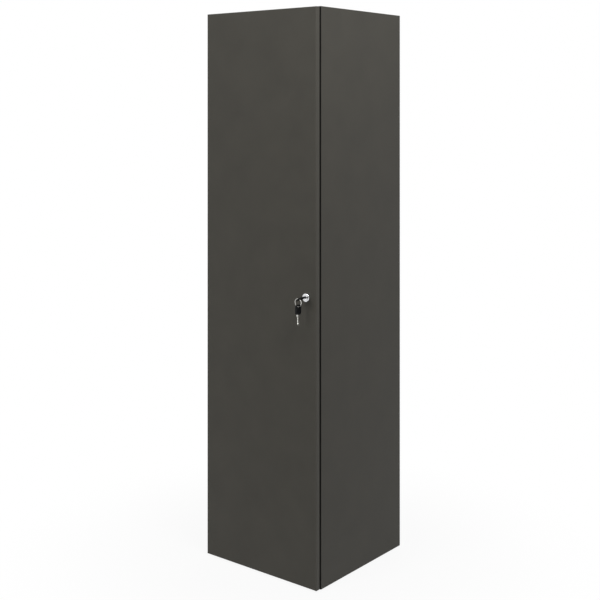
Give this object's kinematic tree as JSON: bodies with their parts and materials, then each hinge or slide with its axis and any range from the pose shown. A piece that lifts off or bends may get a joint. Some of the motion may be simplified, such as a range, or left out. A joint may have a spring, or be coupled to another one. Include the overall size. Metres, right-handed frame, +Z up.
{
  "type": "single-door locker",
  "caption": "Tall plain board locker with one full-height overlay door, a round key lock at mid-height, a hat shelf and a clothes rail inside.",
  "frame": {"origin": "on the floor, under the centre of the whole object's box, keys included", "axes": "+X to the right seen from the front, -Y out of the door front, +Z up"},
  "size_m": [0.5, 0.553, 1.95],
  "materials": {
    "board": "dark warm grey melamine face, very fine matt texture",
    "edging": "dark warm grey plastic edge band, satin",
    "back": "dark warm grey melamine face on a thin board",
    "zinc": "nickel-plated, satin",
    "chrome": "bright chrome plate, polished",
    "steel": "nickel silver, milled",
    "black": "black moulded plastic, satin",
    "clear": "soft translucent stop",
    "dowel": "beech, ribbed",
    "glide": "black moulded plastic"
  },
  "bodies": {
    "carcass": {"left_side": "board", "right_side": "board", "top_board": "board", "bottom_board": "board", "back_panel": "back", "hat_shelf": "board", "carcass_edging": "edging", "shelf_edging": "edging", "hinge_arms": "zinc", "hinge_plates": "zinc", "plate_screws": "zinc", "arm_screws": "zinc", "keeper": "zinc", "keeper_screws": "zinc", "shelf_supports": "zinc", "clothes_rail": "chrome", "rail_sockets": "zinc", "rail_screws": "zinc", "connector_cams": "zinc", "connector_bolts": "zinc", "dowels": "dowel", "wall_brackets": "zinc", "bracket_screws": "zinc", "glide_sleeves": "zinc"},
    "door": {"door_board": "board", "door_edging": "edging", "hinge_cups": "zinc", "hinge_pins": "zinc", "cup_screws": "zinc", "lock_housing": "chrome", "lock_nut": "zinc", "door_stops": "clear"},
    "lock_core": {"lock_plug": "chrome", "lock_cam": "zinc", "cam_screw": "zinc"},
    "key": {"key_head": "black", "key_blade": "steel"},
    "key_ring": {"split_ring": "chrome"},
    "spare_key": {"spare_key_head": "black", "spare_key_blade": "steel"},
    "glide_front_left": {"glide_front_left": "glide"},
    "glide_front_right": {"glide_front_right": "glide"},
    "glide_back_left": {"glide_back_left": "glide"},
    "glide_back_right": {"glide_back_right": "glide"}
  },
  "joints": [
    {"name": "door_swing", "type": "hinge", "parent": "carcass", "child": "door", "pos_m": [-0.2405, -0.211, 0.978], "axis": [0, 0, -1], "range_deg": [0, 95]},
    {"name": "lock_turn", "type": "hinge", "parent": "door", "child": "lock_core", "pos_m": [0.209, -0.2295, 0.978], "axis": [0, -1, 0], "range_deg": [0, 90]},
    {"name": "key_pull", "type": "slide", "parent": "lock_core", "child": "key", "axis": [0, -1, 0], "range_m": [0, 0.035]},
    {"name": "ring_swing", "type": "hinge", "parent": "key", "child": "key_ring", "pos_m": [0.209, -0.2625, 0.978], "axis": [0, 1, 0], "range_deg": [0, 48]},
    {"name": "spare_key_swing", "type": "hinge", "parent": "key_ring", "child": "spare_key", "pos_m": [0.20434, -0.2625, 0.95286], "axis": [1, 0, 0], "range_deg": [-30, 30]},
    {"name": "level_front_left", "type": "slide", "parent": "carcass", "child": "glide_front_left", "axis": [0, 0, -1], "range_m": [0, 0.01]},
    {"name": "level_front_right", "type": "slide", "parent": "carcass", "child": "glide_front_right", "axis": [0, 0, -1], "range_m": [0, 0.01]},
    {"name": "level_back_left", "type": "slide", "parent": "carcass", "child": "glide_back_left", "axis": [0, 0, -1], "range_m": [0, 0.01]},
    {"name": "level_back_right", "type": "slide", "parent": "carcass", "child": "glide_back_right", "axis": [0, 0, -1], "range_m": [0, 0.01]}
  ]
}
